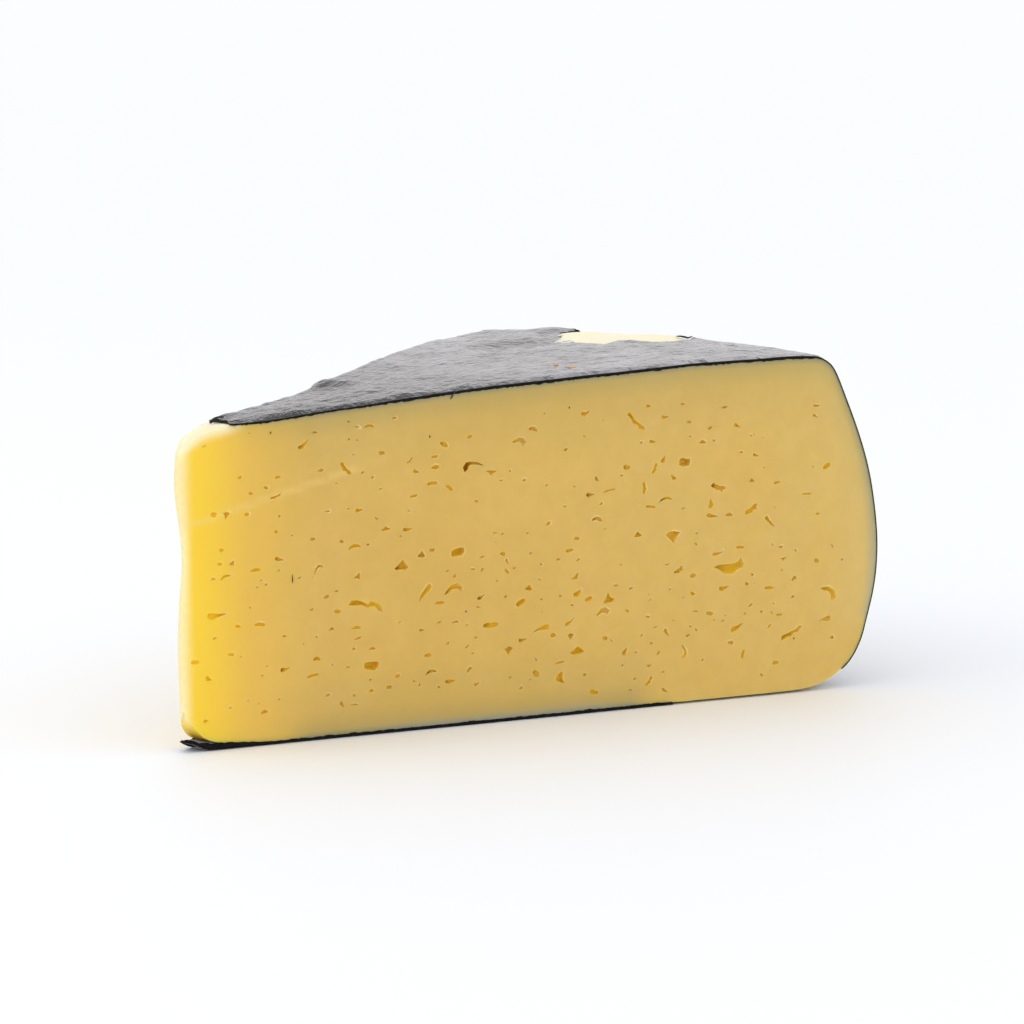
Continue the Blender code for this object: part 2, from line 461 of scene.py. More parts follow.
# Each kind of eye, from its left end to its right one: along its length, rise of its middle line,
# and its half widths above and below that line. The first two are in lengths, the others in widths.
EYE_KINDS = {
    "slit": [(0, 0, 0, 0), (0.2, 0.02, 0.42, 0.36), (0.55, 0.03, 0.5, 0.5), (0.85, 0, 0.34, 0.42),
             (1, -0.02, 0, 0)],
    "drop": [(0, 0, 0, 0), (0.10, 0.02, 0.5, 0.4), (0.32, 0, 0.5, 0.5), (0.62, 0, 0.22, 0.28),
             (1, 0.04, 0, 0)],
    "lump": [(0, 0, 0, 0), (0.07, 0.02, 0.34, 0.30), (0.32, 0, 0.54, 0.46), (0.70, 0, 0.46, 0.52),
             (0.93, 0, 0.30, 0.34), (1, -0.02, 0, 0)],
    "cave": [(0, 0.02, 0, 0), (0.16, 0.02, 0.16, 0.24), (0.40, 0.03, 0.22, 0.72), (0.62, 0.03, 0.22, 0.78),
             (0.80, 0.04, 0.34, 0.44), (0.93, 0.09, 0.44, 0.40), (1, 0.05, 0, 0)],
    "split": [(0, -0.02, 0, 0), (0.10, 0.03, 0.50, 0.40), (0.25, 0.05, 0.42, 0.42), (0.42, 0.03, 0.30, 0.30),
              (0.55, -0.03, 0.38, 0.34), (0.66, 0.03, 0.50, 0.42), (0.78, 0.00, 0.34, 0.30),
              (0.90, -0.10, 0.46, 0.40), (1, -0.18, 0, 0)],
    "peak": [(0, -0.04, 0, 0), (0.20, -0.02, 0.16, 0.24), (0.52, 0, 0.72, 0.22), (0.74, 0, 0.26, 0.26),
             (1, -0.02, 0, 0)],
    "wedge": [(0, 0.02, 0, 0), (0.22, 0.02, 0.20, 0.22), (0.50, 0, 0.24, 0.70), (0.72, 0.02, 0.24, 0.34),
              (1, 0.06, 0, 0)],
    "arc": [(0, -0.12, 0, 0), (0.15, 0.02, 0.36, 0.22), (0.45, 0.11, 0.50, 0.34), (0.75, 0.06, 0.40, 0.36),
            (1, -0.10, 0, 0)],
    "crack": [(0, 0.02, 0, 0), (0.12, 0.05, 0.40, 0.30), (0.30, 0.03, 0.28, 0.36), (0.44, -0.05, 0.46, 0.44),
              (0.60, -0.01, 0.24, 0.28), (0.76, -0.06, 0.42, 0.46), (0.90, -0.02, 0.26, 0.24),
              (1, -0.05, 0, 0)],
    "elbow": [(0.02, -0.30, 0, 0), (0.05, -0.12, 0.40, 0.42), (0.16, 0.06, 0.32, 0.48),
              (0.34, 0.13, 0.16, 0.24), (0.68, 0.10, 0.15, 0.22), (1, -0.03, 0, 0)],
    "hook": [(0, 0.02, 0, 0), (0.22, 0.06, 0.18, 0.26), (0.55, 0.14, 0.32, 0.30), (0.88, 0.04, 0.46, 0.40),
             (1.0, -0.22, 0.50, 0.36), (0.92, -0.42, 0, 0)],
}


class Eye:
    """One small opening in a cut face: an outline round a bent middle line, and a hollow behind."""

    # Each level of an eye's hollow: how far its ring shrinks, how deep it lies, and how much painted shade
    # its colour gets
    LEVELS = [(0.94, 0.16, 0.35), (0.84, 0.62, 0.80), (0.50, 1.0, 1.0)]
    LIP_WIDTH = 0.00042
    LIP_HEIGHT = 0.00006

    def __init__(self, along, height, length, width, tilt, kind, draw, depth=None):
        self.place = (along, height)
        self.reach = 0.56 * length
        self.depth = depth or 0.00018 + 0.42 * width
        self.turn = Matrix.Rotation(tilt, 2)
        side = 1 if along > 0 else -1
        # Painted shade falls towards one end of each eye, which also lies deeper
        way = pi + side * draw.uniform(-1.1, 0.6)
        self.shaded_end = Vector((side * cos(way), sin(way))) * draw.choice([0.1, 0.3, 0.6, 0.9])
        # A painted highlight falls on one side of each eye's lip
        way = radians(draw.uniform(-10, 110))
        self.lip_highlight_way = Vector((side * cos(way), sin(way)))
        self.lip_highlight_strength = draw.choice([0.1, 0.3, 0.6, 1.0])
        # How strong the eye's painted shade is differs from eye to eye
        self.shade_strength = draw.uniform(0.45, 1.0) if length < 0.0018 else draw.uniform(0.8, 1.05)
        upper = []
        lower = []
        rows = EYE_KINDS[kind]
        for i, (x, rise, above, below) in enumerate(rows):
            mid = Vector(((x - 0.5) * length, rise * length))
            if 0 < i < len(rows) - 1:
                before = rows[i - 1]
                after = rows[i + 1]
                direction = Vector((after[0] - before[0], after[1] - before[1])).normalized()
                across = Vector((-direction.y, direction.x)) * width
                jag = direction * draw.uniform(-0.10, 0.10) * width
                upper.append((mid, across * above * draw.uniform(0.72, 1.28) + jag))
                jag = direction * draw.uniform(-0.10, 0.10) * width
                lower.append((mid, across * -below * draw.uniform(0.72, 1.28) + jag))
            else:
                upper.append((mid, Vector((0.0, 0.0))))
        self.stations = upper + lower[::-1]

    def ring(self, scale):
        """The outline, shrunk towards its middle line, in (along, height)."""
        places = []
        for mid, offset in self.stations:
            turned = self.turn @ (mid * (0.4 + 0.6 * scale) + offset * scale)
            places.append((self.place[0] + turned.x, self.place[1] + turned.y))
        return places

    def lip(self):
        """Points just outside the outline, at its corners and along its longer sides."""
        ring = [Vector(place) for place in self.ring(1.0)]
        places = []
        for i, place in enumerate(ring):
            before = (place - ring[i - 1]).normalized()
            side = ring[(i + 1) % len(ring)] - place
            after = side.normalized()
            outward = Vector((-before.y - after.y, before.x + after.x))
            outward = outward.normalized() * self.LIP_WIDTH if outward.length > 0.2 else after * 0.0
            places.append(tuple(place + outward))
            steps = int(side.length / 0.0007)
            for k in range(1, steps + 1):
                middle = place + side * (k / (steps + 1))
                places.append((middle.x - after.y * self.LIP_WIDTH, middle.y + after.x * self.LIP_WIDTH))
        return places

    def lip_highlight_at(self, place):
        """How much painted highlight the lip gets at a place on the outline: most on one side."""
        away = (Vector(place) - Vector(self.place)).normalized()
        return self.lip_highlight_strength * (0.1 + 0.9 * max(0.0, away.dot(self.lip_highlight_way)))

    def hollow(self, scale, depth):
        """A deeper ring: (along, height, depth, how much painted shade it gets), lying lower and painted
        darker at its shaded end.
        """
        places = []
        for x, y in self.ring(scale):
            away = Vector((x - self.place[0], y - self.place[1])) / max(self.reach, 1e-5)
            # slope tilts the hollow's floor and paints one end darker
            slope = 1 + self.shaded_end.dot(away)
            places.append((x, y, depth * self.depth * (0.7 + 0.3 * slope), slope * self.shade_strength))
        return places


# The near face's larger eyes: millimetres along and up, length, width, tilt in degrees, and kind
NEAR_EYES = [
    (29, 66, 3.4, 1.0, 38, "drop"), (31.6, 68.4, 1.5, 0.5, 8, "slit"), (45, 69, 2.7, 0.7, 0, "arc"),
    (39.1, 60, 4.0, 1.5, -38, "crack"), (33, 60, 1.7, 0.7, 8, "slit"), (48, 63, 1.6, 0.8, 0, "lump"),
    (55, 61, 2.0, 0.6, 50, "crack"), (22, 55, 3.0, 0.7, 25, "crack"), (16, 56, 1.2, 0.7, 0, "lump"),
    (10, 52, 1.9, 1.9, -8, "wedge"), (15, 51.5, 1.4, 0.8, 0, "lump"), (42.5, 50.6, 2.2, 0.9, 12, "drop"),
    (49, 46, 2.3, 1.0, 5, "peak"), (54.5, 45.5, 2.4, 0.9, 6, "drop"), (31, 45, 1.3, 0.7, 15, "lump"),
    (41.4, 42.4, 3.2, 0.9, 6, "arc"), (9, 44, 1.2, 0.8, 0, "lump"), (8.6, 41, 1.3, 0.8, 0, "lump"),
    (11.5, 41, 1.6, 1.2, 35, "wedge"), (17, 39, 2.6, 0.8, 8, "slit"), (23, 41, 2.7, 0.9, -14, "drop"),
    (10, 38, 2.8, 0.8, 18, "arc"), (32, 38, 2.6, 0.8, 55, "hook"), (53, 37.1, 3.5, 2.7, 0, "peak"),
    (58, 39.4, 2.0, 1.9, -8, "peak"), (42, 36, 2.0, 1.3, 40, "wedge"), (44, 29.4, 8.8, 1.3, -5, "split"),
    (37, 28.4, 1.7, 0.8, 0, "lump"), (18, 27, 2.9, 1.0, -4, "slit"), (7.6, 29.8, 5.0, 1.5, 0, "drop"),
    (12.6, 27, 1.5, 0.7, 0, "lump"), (35.5, 24.6, 1.4, 0.9, 6, "peak"), (41.6, 24.4, 2.4, 0.8, 4, "slit"),
    (42, 22, 2.0, 0.6, 20, "slit"), (11, 21, 1.6, 0.8, 0, "lump"), (24.1, 16.6, 2.6, 0.9, 12, "drop"),
    (30.8, 14.6, 3.4, 0.8, 12, "slit"), (45.3, 15.6, 3.7, 2.0, 6, "lump"),
    (45.5, 19.4, 1.8, 0.9, 0, "peak"), (5.4, 16, 1.9, 1.0, -20, "drop"), (2.4, 20, 1.6, 1.0, 10, "lump"),
    (49.6, 10.4, 1.5, 0.9, 10, "lump"), (38, 7.4, 1.6, 0.9, -50, "drop"), (41, 7.2, 1.8, 0.5, 0, "slit"),
    (71.1, 58.9, 5.0, 1.7, 0, "elbow"), (75.4, 57.2, 2.8, 1.1, -4, "wedge"),
    (82.2, 63.6, 2.9, 1.5, 4, "hook"), (63.6, 64, 2.2, 1.0, -26, "lump"), (70, 65.4, 1.4, 0.8, 15, "lump"),
    (60.6, 55.4, 2.7, 0.9, 8, "slit"), (64.8, 54.2, 2.3, 0.9, -35, "slit"),
    (86.2, 66.1, 2.3, 1.1, -14, "arc"), (99.8, 69.1, 2.6, 1.0, 24, "drop"),
    (113, 66.5, 6.4, 1.3, -36, "crack"), (101, 50.4, 2.4, 1.1, 0, "drop"), (106, 51, 3.4, 0.5, 12, "slit"),
    (102.8, 44.5, 2.9, 1.1, -6, "arc"), (117, 46.6, 2.8, 0.7, -3, "slit"),
    (113.7, 40.2, 2.2, 1.4, 4, "peak"), (118, 55.4, 2.7, 1.1, 74, "crack"),
    (115.2, 51.1, 3.0, 1.2, 100, "crack"), (67, 39.6, 3.6, 2.0, 18, "lump"),
    (97.4, 40.6, 1.6, 0.8, -4, "lump"), (95.6, 38, 2.2, 0.9, 8, "slit"), (78.4, 38.4, 1.4, 0.9, 0, "lump"),
    (79.4, 36.6, 1.5, 0.7, -60, "drop"), (97.2, 31.9, 2.5, 1.4, 40, "wedge"),
    (58.6, 31, 5.0, 1.5, 232, "drop"), (65.4, 31, 4.4, 1.4, 30, "hook"), (62.4, 28.4, 2.6, 0.8, 8, "slit"),
    (85, 30, 2.1, 1.4, -12, "peak"), (73, 29, 2.5, 0.9, 30, "drop"), (97.8, 28.1, 2.5, 1.4, 36, "drop"),
    (106, 25.7, 3.2, 2.2, 14, "peak"), (104, 23, 3.0, 1.5, 26, "hook"), (83, 27, 2.7, 1.6, 32, "lump"),
    (100.6, 26.5, 2.0, 1.2, 24, "lump"), (75.3, 22.4, 4.1, 1.3, 5, "lump"),
    (88.2, 20.6, 4.6, 1.2, 194, "drop"), (95.9, 18.5, 1.9, 1.6, 0, "wedge"),
    (95.7, 21.5, 2.9, 0.9, 34, "drop"), (91.3, 18.9, 1.6, 1.1, 0, "lump"),
    (83.5, 18.4, 2.2, 0.9, 10, "drop"), (79.9, 16.6, 2.2, 2.0, 0, "wedge"),
    (97.6, 14.6, 3.9, 2.3, 0, "peak"), (110.4, 13.6, 2.4, 1.5, 50, "drop"),
    (93, 12.4, 2.6, 0.7, 10, "slit"), (87, 10.4, 2.0, 1.3, -40, "lump"), (93.4, 8.6, 2.9, 2.1, -50, "drop"),
    (60.3, 12.8, 2.9, 0.9, 10, "arc"), (65, 10.4, 2.7, 1.0, 4, "drop"), (116.7, 6.2, 3.0, 1.1, 58, "crack"),
    (102, 4.8, 2.6, 1.1, -10, "lump"), (126, 56.4, 3.2, 2.2, 0, "lump"),
    (120.4, 57.4, 2.2, 1.2, 62, "drop"), (123, 53, 1.9, 1.2, -30, "wedge"),
    (135, 50.1, 4.2, 1.8, -10, "crack"), (133, 46.4, 2.6, 1.3, 96, "drop"),
    (133.4, 43.4, 3.4, 1.1, -8, "drop"), (138, 43.4, 2.2, 1.1, -10, "peak"),
    (143.9, 44.4, 4.0, 1.6, 38, "crack"), (149, 41, 3.9, 1.1, -46, "drop"), (121, 48, 3.6, 0.8, 8, "arc"),
    (123, 39.8, 3.9, 2.7, 4, "wedge"), (138.0, 31.2, 8.2, 2.9, 0, "cave"),
    (136.8, 26.4, 2.9, 1.1, 10, "drop"), (135, 34.6, 3.2, 0.8, 12, "drop"),
    (141, 35.6, 2.4, 0.8, -4, "slit"), (124.6, 31.4, 2.8, 1.3, 40, "crack"),
    (128.4, 29.8, 1.7, 0.9, 10, "lump"), (149, 25.5, 2.8, 0.8, 0, "slit"),
    (165, 23.6, 4.4, 1.7, -20, "hook"), (164.6, 17, 3.4, 1.4, 190, "drop"),
    (155.3, 14.4, 6.6, 1.4, 32, "crack"), (140.4, 16.8, 3.9, 1.5, 26, "drop"),
    (138.6, 13.4, 1.6, 1.0, 0, "lump"), (142, 10.4, 2.2, 1.1, 84, "slit"),
    (126, 12.6, 3.0, 1.0, -70, "hook"), (133, 20.6, 2.1, 0.9, 0, "slit"),
    (121.4, 17, 2.4, 1.1, -56, "drop"), (151, 7.6, 1.9, 0.8, 12, "lump"),
    (164.6, 53.2, 2.3, 1.3, 30, "lump"), (159, 47, 2.8, 0.6, 3, "slit"), (162, 31, 1.7, 1.0, -8, "lump"),
    (152, 35, 1.4, 0.7, 0, "lump"), (110.6, 56.1, 1.8, 1.1, 0, "lump"), (130.8, 60.6, 2.0, 0.9, 0, "arc"),
    (117.4, 61.6, 1.8, 0.8, -10, "drop"), (145, 56.9, 1.7, 0.9, -20, "drop"),
    (61.2, 61.4, 1.9, 0.7, 12, "slit"), (61.4, 59, 2.2, 0.9, 10, "slit"),
    (116.3, 69.9, 1.5, 0.8, -5, "drop"), (120.7, 67.1, 2.0, 0.7, 0, "drop"),
    (125.3, 69.8, 1.3, 0.6, 0, "slit"), (127, 65.6, 1.3, 0.8, 0, "lump"), (132.8, 64, 1.5, 0.8, 30, "drop"),
    (161.6, 67.6, 2.0, 0.8, 0, "drop"), (161.4, 65.2, 1.9, 0.8, -30, "drop"),
    (136.5, 68.6, 1.9, 0.8, 0, "wedge"), (140, 64, 2.0, 0.8, -25, "drop"), (141, 57.8, 1.4, 0.5, 5, "slit"),
    (56, 52.9, 2.1, 0.7, 14, "slit"), (56.6, 58.3, 1.8, 0.9, -10, "drop"),
    (51.2, 70.6, 1.3, 0.5, 5, "slit"), (40, 70.4, 1.0, 0.6, -20, "drop"), (34.7, 50.9, 1.4, 0.5, 5, "slit"),
    (121, 3.6, 2.0, 0.8, -30, "drop"),
]

KINDS = ["slit", "slit", "drop", "lump", "lump", "arc", "wedge", "peak"]


def eye_density(along, height):
    """How likely an eye is at a place on a cut face: few near the rind, most low and outward."""
    from_top = 0.076 - height
    edge = smooth(0.004, 0.016, from_top) * smooth(0.003, 0.009, height)
    rim = 1 - smooth(0.150, 0.172, along)
    low = 0.55 + 0.45 * smooth(0.062, 0.030, height) if height < 0.062 else 0.5
    low *= 0.6 + 0.4 * smooth(0.02, 0.06, along)
    return edge * (0.15 + 0.85 * rim) * low


def scattered_eyes(draw, side, count, sizes, taken):
    """Seeded eyes on one face, clear of those already there."""
    eyes = []
    while len(eyes) < count:
        along = draw.uniform(0.004, 0.172)
        height = draw.uniform(0.004, 0.074)
        length = draw.choice(sizes) * draw.uniform(0.8, 1.25) * MM
        width = length * draw.uniform(0.36, 0.72)
        tilt = radians(draw.gauss(6, 24))
        kind = draw.choice(KINDS)
        if draw.random() > eye_density(along, height):
            continue
        room = all(hypot(along - e[0], height - e[1]) > 0.55 * (length + e[2]) + 0.0004 for e in taken)
        if not room:
            continue
        taken.append((along, height, length))
        eyes.append(Eye(-side * along, height, length, width, -side * tilt, kind, draw))
    return eyes


def near_eyes(draw):
    """The eyes that the table lists, and seeded small ones between them."""
    taken = [(a * MM, h * MM, length * MM) for a, h, length, _, _, _ in NEAR_EYES]
    eyes = []
    for along, height, length, width, tilt, kind in NEAR_EYES:
        depth = 0.0017 if kind == "lump" and width > 1.7 else None
        eyes.append(Eye(along * MM, height * MM, length * MM, width * MM, radians(tilt), kind, draw, depth))
    return eyes + scattered_eyes(draw, NEAR, 170, [0.7, 0.8, 0.9, 1.1, 1.3, 1.6], taken)


def far_eyes(draw):
    """The face that the photograph doesn't show has seeded eyes only, large and small."""
    large = scattered_eyes(draw, FAR, 85, [2.2, 2.6, 3.0, 3.6, 4.4], [])
    taken = [(-eye.place[0], eye.place[1], 1.8 * eye.reach) for eye in large]
    return large + scattered_eyes(draw, FAR, 190, [0.8, 0.9, 1.0, 1.2, 1.4, 1.7], taken)


# ---- the paste

def outline_stations():
    """Path lengths of the points round a cut face's edge: close at the tip, even elsewhere."""
    stations = [0.0, 0.00012, 0.0004, 0.0009, 0.0016, 0.0025]
    step = 0.0011
    count = int((profile.length - 0.0050) / step)
    stations += [0.0025 + (profile.length - 0.0050) * i / count for i in range(1, count + 1)]
    stations += [profile.length - s for s in (0.0016, 0.0009, 0.0004, 0.00012, 0.0)]
    return stations


def edge_place(p, side):
    """A point of the paste's edge in the flat sheet of both cut faces: (along, height)."""
    rind = on_rind(p, side)
    r, _, out_r, _ = profile.at(p, rind_inset(p))
    r += out_r * (skin_relief(p, side * edge_angle(r)) + bare_swell(p, side))
    return -side * along_at(max(r, TIP_X)), rind.z


def drop_loose(mesh):
    """Remove vertices that no face uses, and turn the faces outwards."""
    loose = [vert for vert in mesh.verts if not vert.link_faces]
    bmesh.ops.delete(mesh, geom=loose, context="VERTS")
    bmesh.ops.recalc_face_normals(mesh, faces=mesh.faces)


def mesh_out(place):
    """The way a cut face looks at this place, in the part's frame."""
    side = -1.0 if place.y < 0 else 1.0
    return Vector((-sin(HALF_ANGLE), side * cos(HALF_ANGLE), 0.0))


def bare_foot(along):
    """Large where the paste's foot keeps its colour: at the tip, and where its wax is torn off."""
    return 0.02 * (smooth(0.112, 0.124, abs(along)) + 1 - smooth(0.010, 0.030, abs(along)))


def spread(cells):
    """These cells of a square grid, and those next to them."""
    return {(x + i, y + j) for x, y in cells for i in (-1, 0, 1) for j in (-1, 0, 1)}


def face_points(outline, lips):
    """The places inside the flat sheet that its triangles use: an even grid, and the eyes' lips."""
    cell = 0.00045
    on_lips = set()
    for lip in lips:
        for a, b in zip(lip, lip[1:] + lip[:1]):
            for k in range(3):
                along = a[0] + (b[0] - a[0]) * k / 3
                height = a[1] + (b[1] - a[1]) * k / 3
                on_lips.add((int(along // cell), int(height // cell)))
    near_lips = spread(on_lips)
    inner = [
        (along, height) for along, height in staggered(-0.178, 0.178, 0.002, 0.080, 0.0016)
        if (int(along // cell), int(height // cell)) not in near_lips
    ]
    inner += [place for lip in lips for place in lip]
    return [place for place in inner if point_in(outline, *place)]


class PasteMesh:
    """The paste as it is built up, with the attributes that its material reads."""

    ATTRIBUTES = [
        "rind_gap", "rim_gap", "top_gap", "foot_smear", "eye_depth", "eye_lip", "ridge", "along", "cut_face",
    ]
    RUNG_STEPS = 40

    def __init__(self, near_edge):
        self.mesh = bmesh.new()
        floats = self.mesh.verts.layers.float
        for name in self.ATTRIBUTES:
            floats.new(name)
        self.layers = {name: floats[name] for name in self.ATTRIBUTES}
        top_edge = sorted((abs(along), z) for along, z in near_edge if z > 0.040)
        self.top_along = [along for along, _ in top_edge]
        self.top_z = [z for _, z in top_edge]
        self.rim_r = profile.r[profile.r > 0.163]
        self.rim_z = profile.z[profile.r > 0.163]

    def vert(self, place, **attributes):
        vert = self.mesh.verts.new(place)
        for name, value in attributes.items():
            vert[self.layers[name]] = value
        return vert

    def face_vert(self, along, z, depth=0.0, eye=0.0):
        """A vertex on a cut face, or in an eye, depth metres behind the face. eye is how much painted shade
        its colour gets.
        """
        top = float(np.interp(abs(along), self.top_along, self.top_z))
        wear = edge_wear(top - z, along) if z > 0.040 else 0.0
        under = smooth(0.040, 0.060, abs(along)) * (1 - smooth(0.100, 0.118, abs(along)))
        x, y, _, _ = cut_point(along)
        r = hypot(x, y)
        to_rim = float(np.min(np.hypot(self.rim_r - r, self.rim_z - z))) if r > 0.140 else 0.040
        return self.vert(
            on_cut(along, z, depth + wear),
            rind_gap=min(top - z, z - BASE_WAX + bare_foot(along)),
            top_gap=top - z,
            foot_smear=0.6 * under * bump(z - BASE_WAX, 0.0011),
            rim_gap=min(0.040, to_rim) - RIM_WAX + 0.02 * (1 - smooth(0.006, 0.018, z)),
            eye_depth=eye,
            ridge=bump(ridge_gap(along, z), 0.0010) * ridge_strength(along),
            along=abs(along),
            cut_face=1.0)

    def rind_vert(self, p, t):
        """A vertex on the rind. Bare rind underneath keeps the colour of a cut face."""
        under = p > profile.widest
        along = along_at(max(profile.radius(p), TIP_X))
        return self.vert(
            on_rind(p, t),
            along=along,
            rind_gap=bare_foot(along) if under else 0.0,
            top_gap=0.04 if under else 0.0,
            cut_face=1.0 if under else 0.0)

    def add_eye(self, eye, ring, places):
        """Raise the eye's lip a little and paint a highlight on one side of it, and close the eye by a
        hollow behind the face, painted darker as it goes deeper.
        """
        for vert, place in zip(ring, places):
            # painted highlight on the lip
            vert[self.layers["eye_lip"]] = eye.lip_highlight_at(place)
            vert.co += mesh_out(vert.co) * Eye.LIP_HEIGHT
        for scale, depth, deep in Eye.LEVELS:
            deeper = []
            for along, z, down, slope in eye.hollow(scale, depth):
                deeper.append(self.face_vert(along, z, down, deep * slope))
            for i in range(len(deeper)):
                j = (i + 1) % len(deeper)
                self.mesh.faces.new((ring[i], ring[j], deeper[j], deeper[i]))
            ring = deeper
        count = len(ring)
        for i in range(count // 2):
            ladder = (ring[i], ring[i + 1], ring[(count - i - 1) % count], ring[(count - i) % count])
            self.mesh.faces.new(list(dict.fromkeys(ladder)))

    def add_rind(self, stations, near_verts, far_verts):
        """The rind under the wax, from the near cut's edge across to the far cut's."""
        steps = self.RUNG_STEPS
        last = None
        for p, near_vert, far_vert in zip(stations, near_verts, far_verts):
            rung = [near_vert] * steps
            if near_vert is not far_vert:
                rung[1:] = [self.rind_vert(p, -1 + 2 * k / steps) for k in range(1, steps)]
            rung.append(far_vert)
            if last:
                for k in range(steps):
                    corners = list(dict.fromkeys((last[k], last[k + 1], rung[k + 1], rung[k])))
                    if len(corners) > 2:
                        self.mesh.faces.new(corners)
            last = rung


def paste_mesh(draw):
    """Both cut faces are one flat sheet, folded at the tip, and the rind joins its two long edges."""
    stations = outline_stations()
    near_edge = [edge_place(p, NEAR) for p in stations]
    far_edge = [edge_place(p, FAR) for p in stations[1:-1]]
    outline = near_edge + far_edge[::-1]
    eyes = near_eyes(draw) + far_eyes(draw)
    inner = face_points(outline, [eye.lip() for eye in eyes])
    places, triangles, rings = filled(outline, [eye.ring(1.0) for eye in eyes], inner)

    paste = PasteMesh(near_edge)
    sheet = [paste.face_vert(along, z) for along, z in places]
    for a, b, c in triangles:
        paste.mesh.faces.new((sheet[a], sheet[b], sheet[c]))
    for eye, loop in zip(eyes, rings[1:]):
        paste.add_eye(eye, [sheet[i] for i in loop], [places[i] for i in loop])

    edge = [sheet[i] for i in rings[0]]
    near_verts = edge[:len(stations)]
    far_verts = [edge[0]] + edge[:len(stations) - 1:-1] + [near_verts[-1]]
    paste.add_rind(stations, near_verts, far_verts)
    drop_loose(paste.mesh)
    return paste.mesh


# ---- the wax

def ragged(loop, step, size, seed):
    """The same closed outline with points every step, pushed in and out by small teeth."""
    points = []
    for i, (x0, y0) in enumerate(loop):
        x1, y1 = loop[(i + 1) % len(loop)]
        count = max(1, int(hypot(x1 - x0, y1 - y0) / step))
        for k in range(count):
            t = k / count
            x = x0 + (x1 - x0) * t
            y = y0 + (y1 - y0) * t
            push_x = size * (waves(x, y, 0, 3.2 * step, seed) + 0.6 * waves(x, y, 0, 1.3 * step, seed))
            push_y = size * (waves(x, y, 1, 3.2 * step, seed + 4) + 0.6 * waves(x, y, 1, 1.3 * step, seed))
            points.append((x + push_x, y + push_y))
    return points


def flat_skin(x, y):
    """A place on the top, from above, as (path length, distance across)."""
    r = hypot(x, y)
    return profile.top_at(r), r * atan2(y, x)


def strip_recess(p):
    """How far the base wax is torn back from the near cut."""
    if p < profile.widest:
        return 0.0
    r = profile.radius(p)
    run = smooth(STRIP_START, STRIP_START + 0.004, r) * (1 - smooth(STRIP_END - 0.002, STRIP_END, r))
    tear = 0.0042 + 0.0015 * waves(p, 0, 0, 0.006, 3.0) + 0.0006 * waves(p, 0, 0, 0.0015, 3.0)
    return run * tear


def wax_edge(side):
    """One long edge of the coat, from the tip end of the top to the tip of the base."""
    start = profile.top_at(TOP_WAX_NEAR if side == NEAR else TOP_WAX_FAR)
    step = 0.00028
    count = int((profile.length - start) / step)
    edge = []
    for i in range(count + 1):
        p = start + (profile.length - start) * i / count
        recess = strip_recess(p) if side == NEAR else 0.0
        edge.append((p, side * max(half_width(p) - recess, 0.0)))
    return edge


def tip_end():
    """The ragged end of the top sheet, from the far cut to the near one, without its two ends."""
    p_near = profile.top_at(TOP_WAX_NEAR)
    p_far = profile.top_at(TOP_WAX_FAR)
    count = 14
    points = []
    for i in range(1, count):
        t = i / count
        p = p_far + (p_near - p_far) * t
        p += 0.0005 * waves(t * 0.01, 0, 0, 0.0012, 6.0) - 0.0009 * sin(pi * t)
        q = half_width(p_far) * (1 - t) - half_width(p_near) * t
        points.append((p, q))
    return points


def chip_gap(x, y):
    """Roughly how far a place on the top is outside the chip, and 0 inside it."""
    gap = hypot((x - CHIP_CENTRE[0]) / 0.0185, (y - CHIP_CENTRE[1]) / 0.0200)
    return max(gap - 0.95, 0.0) * 0.019


def curl(x, y, p):
    """How far the wax lifts off the rind, at its loose corners, and off the table under the tip."""
    if p > profile.widest:
        return -0.0013 * bump(x - TIP_X, 0.0024)
    lift = 0.0006 * bump(hypot(x - 0.0190, y - 0.0065), 0.0030)
    lift += 0.0002 * bump(hypot(x - 0.1630, y + 0.0060), 0.0025)
    return lift


def skin_place(p, q):
    """How far across a place on the skin is, from -1 to 1, and its x from the wheel's axis, y and z."""
    t = min(max(q / max(half_width(p), 1e-6), -1.0), 1.0)
    r, z, _, _ = profile.at(p)
    angle = t * edge_angle(r)
    return t, r * cos(angle), r * sin(angle), z


def wax_outer(p, q):
    """The wax's outer face: wrinkled, rounded at the cuts and thin beside the chip."""
    t, x, y, z = skin_place(p, q)
    r = profile.radius(p)
    gap = edge_gap(p, q)
    base = smooth(profile.base_start - 0.010, profile.base_start, p)
    on_rim = smooth(profile.top_end - 0.003, profile.top_end + 0.006, p) * (1 - base)
    rounding = 0.00090 * (1 - 0.25 * smooth(0.040, 0.065, r)) * (1 - on_rim) * (1 - 0.75 * base)
    rounding += 0.00020 * on_rim
    inset = rounding * (1 - smooth(0.0, 0.0018, gap)) ** 1.2
    if p < profile.top_end:
        inset += 0.00080 * (1 - smooth(0.0, 0.0030, chip_gap(x, y)))
        inset += 0.00055 * (1 - smooth(0.0, 0.0045, x - 0.0115 - 0.6 * (y + 0.005)))
    elif p > profile.base_start:
        inset += 0.00050 * bump(x - TIP_X, 0.0025)
    wrinkles = 0.00022 * waves(x, y, z, 0.0038, 1.0) + 0.00026 * waves(x, y, z, 0.0085, 2.0)
    wrinkles += 0.00018 * waves(x, y, z, 0.0023, 3.0)
    inset -= wrinkles * (1 - base) * smooth(0.0, 0.0015, gap)
    return on_skin(p, t, min(inset, rind_inset(p) - 0.0003), curl(x, y, p))


def wax_inner(p, q):
    """The wax's inner face, close over the rind."""
    t, x, y, _ = skin_place(p, q)
    lift = curl(x, y, p)
    if p > profile.widest:
        lift *= 0.5
    return on_skin(p, t, rind_inset(p) - WAX_GAP, lift)


